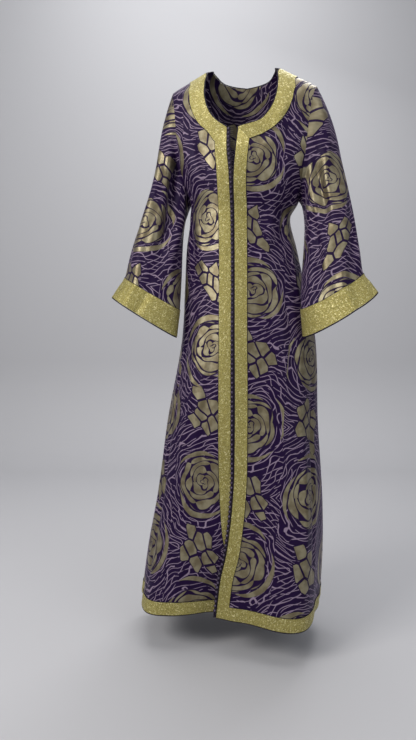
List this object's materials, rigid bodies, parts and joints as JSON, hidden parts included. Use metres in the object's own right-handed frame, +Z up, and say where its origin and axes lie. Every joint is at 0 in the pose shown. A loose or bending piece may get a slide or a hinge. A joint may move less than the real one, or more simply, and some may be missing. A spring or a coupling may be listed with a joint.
{
  "type": "moroccan kaftan",
  "caption": "Long open-front kaftan of rose brocade with flared sleeves, gold braid edges and a strip of knotted cord buttons, in its worn, hollow form.",
  "frame": {"origin": "between the shoulders, midway between the inner ends of the two shoulder seams and at their height, where the wearer's shoulders carry the kaftan", "axes": "+Z up, -Y towards the open front, +X towards the wearer's left"},
  "size_m": [0.6923, 0.3694, 1.4781],
  "materials": {
    "brocade": "satin-like purple brocade with champagne gold roses, leaves and thin lilac outlines",
    "gold_braid": "glittering woven gold braid",
    "piping": "dark purple satin piping",
    "knotted_cord": "dark purple twisted silk cord"
  },
  "bodies": {
    "root": {"front_right": "brocade", "front_left": "brocade", "back": "brocade", "sleeve_right": "brocade", "sleeve_left": "brocade", "braid_front_right": "gold_braid", "braid_front_left": "gold_braid", "braid_neck": "gold_braid", "braid_hem": "gold_braid", "braid_cuff_right": "gold_braid", "braid_cuff_left": "gold_braid", "piping_neck": "piping", "piping_front": "piping", "piping_hem": "piping", "piping_cuff_right": "piping", "piping_cuff_left": "piping", "button_strip": "knotted_cord"}
  },
  "joints": []
}
